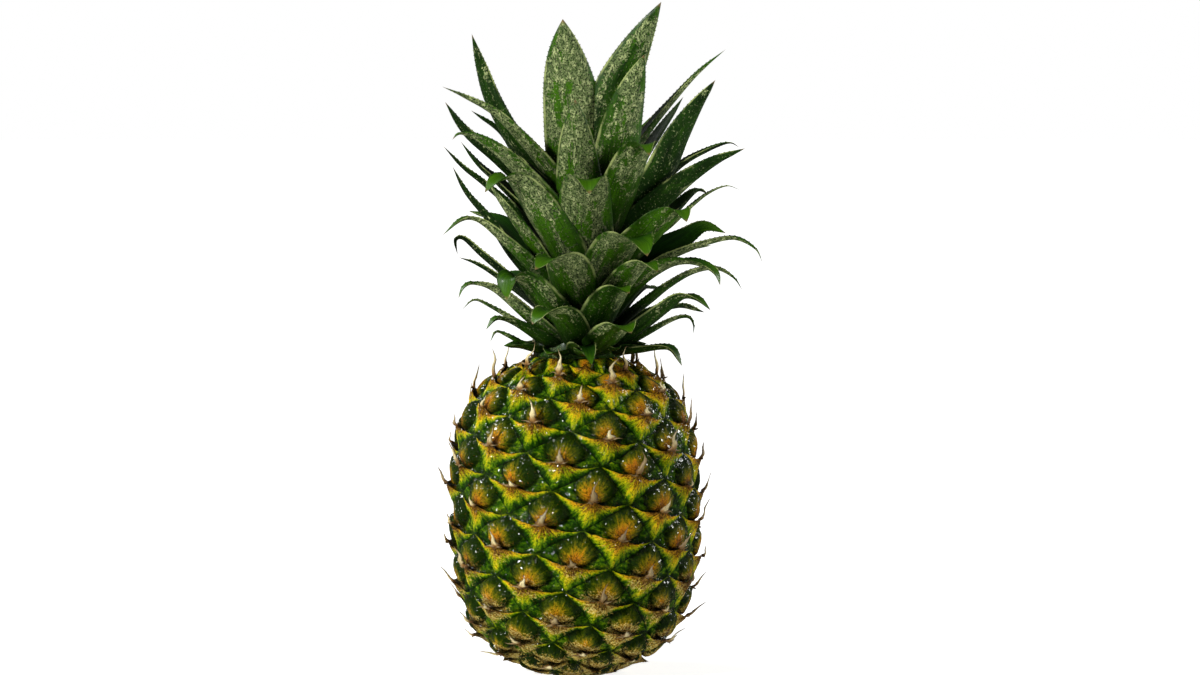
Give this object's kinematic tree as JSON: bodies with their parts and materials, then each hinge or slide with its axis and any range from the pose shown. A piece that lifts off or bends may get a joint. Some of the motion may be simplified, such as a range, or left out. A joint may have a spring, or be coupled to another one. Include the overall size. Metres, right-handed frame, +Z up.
{
  "type": "pineapple",
  "caption": "Whole ripe pineapple standing on its cut base, with scaly eyed rind, dry spines and a full crown of arching pointed leaves",
  "frame": {"origin": "middle of the flat foot that the fruit stands on", "axes": "+Z up along the fruit's core towards the crown, -Y towards the side seen in the picture, +X to the right of that view"},
  "size_m": [0.1524, 0.1428, 0.3135],
  "materials": {
    "rind": "waxy satin",
    "leaf": "satin with grey scurf",
    "stalk": "dry fibrous matte"
  },
  "bodies": {
    "root": {"fruit": "rind", "crown": "leaf", "cut_stalk": "stalk"}
  },
  "joints": []
}
